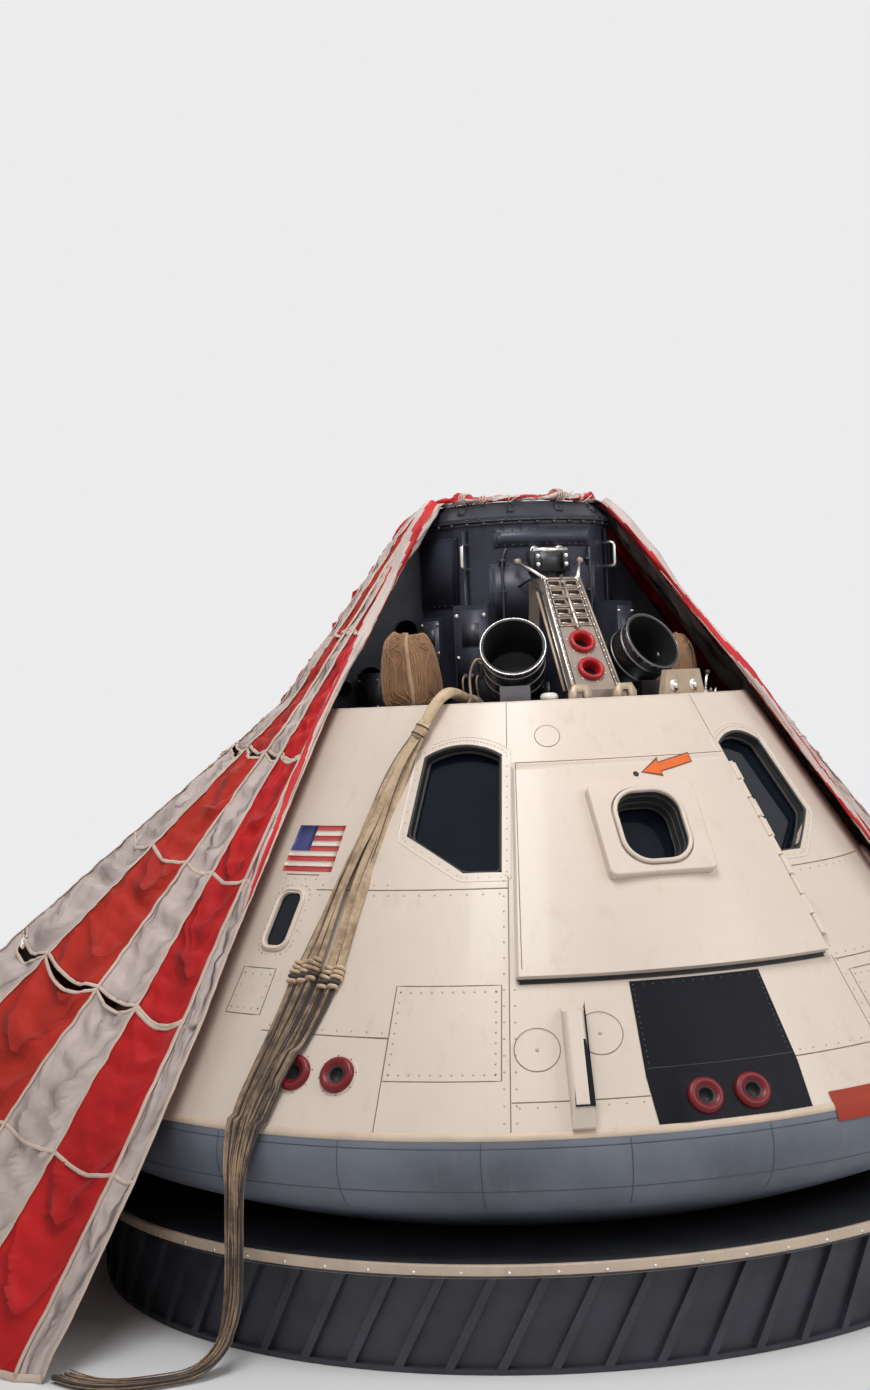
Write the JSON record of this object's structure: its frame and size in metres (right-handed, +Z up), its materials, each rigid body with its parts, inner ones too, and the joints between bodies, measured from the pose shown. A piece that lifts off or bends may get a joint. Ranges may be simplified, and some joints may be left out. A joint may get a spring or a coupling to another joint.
{
  "type": "crew re-entry capsule on a display ring",
  "caption": "Conical crew re-entry capsule standing on a low display ring, with an opening side hatch, an open recovery bay on top and a striped parachute draped round the back.",
  "frame": {"origin": "on the floor under the capsule axis, at the middle of the display ring's underside", "axes": "+Z up along the capsule axis, the side hatch faces -Y, +X is to the right of someone facing the hatch"},
  "size_m": [6.5703, 5.0686, 3.1649],
  "materials": {
    "hull": "gloss",
    "heat_shield": "satin",
    "ring_band": "satin",
    "ring_skirt": "satin",
    "window_glass": "gloss",
    "window_frame": "satin",
    "hatch": "gloss",
    "steel": "brushed",
    "cabin_grey": "matt",
    "couch_fabric": "matt",
    "panel": "matt",
    "deck": "satin",
    "tunnel": "satin",
    "docking_ring": "satin",
    "gusset": "satin",
    "ramp": "satin",
    "nozzle_red": "satin",
    "nozzle": "satin",
    "mortar": "brushed",
    "pack": "matt",
    "canopy": "matt",
    "webbing": "matt"
  },
  "bodies": {
    "capsule": {"display_ring_band": "ring_band", "display_ring_skirt": "ring_skirt", "aft_heat_shield": "heat_shield", "hull_front": "hull", "hull_rear": "hull", "window_pane_left": "window_glass", "window_pane_right": "window_glass", "window_bezel_left": "window_frame", "window_bezel_right": "window_frame", "side_window_pane_left": "window_glass", "side_window_pane_right": "window_glass", "side_window_frame_left": "hull", "side_window_frame_right": "hull", "hatch_hinge": "steel", "nozzle_pair_left": "nozzle", "nozzle_pair_front": "nozzle", "nozzle_pair_right": "nozzle", "umbilical_fairing": "hull", "cabin_floor": "cabin_grey", "couch_frame": "steel", "couch_left": "couch_fabric", "couch_centre": "couch_fabric", "couch_right": "couch_fabric", "instrument_panel": "panel", "forward_deck": "deck", "tunnel": "tunnel", "docking_ring": "docking_ring", "forward_hatch": "docking_ring", "gusset_left": "gusset", "gusset_right": "gusset", "gusset_rear": "gusset", "thruster_ramp": "ramp", "ramp_nozzle_1": "nozzle_red", "ramp_nozzle_2": "nozzle_red", "mortar_left": "mortar", "mortar_right": "mortar", "sling_bracket": "steel", "pack_left": "pack", "pack_right": "pack", "parachute_cape": "canopy", "parachute_skirt": "canopy", "riser": "webbing"},
    "hatch": {"hatch_door": "hatch", "hatch_window_frame": "hatch", "hatch_window_pane": "window_glass", "hatch_latch": "steel"}
  },
  "joints": [
    {"name": "hatch_hinge", "type": "hinge", "parent": "capsule", "child": "hatch", "pos_m": [0.53906, -1.2874, 1.68586], "axis": [-0.2104, 0.5024, 0.8387], "range_deg": [0, 120]}
  ]
}
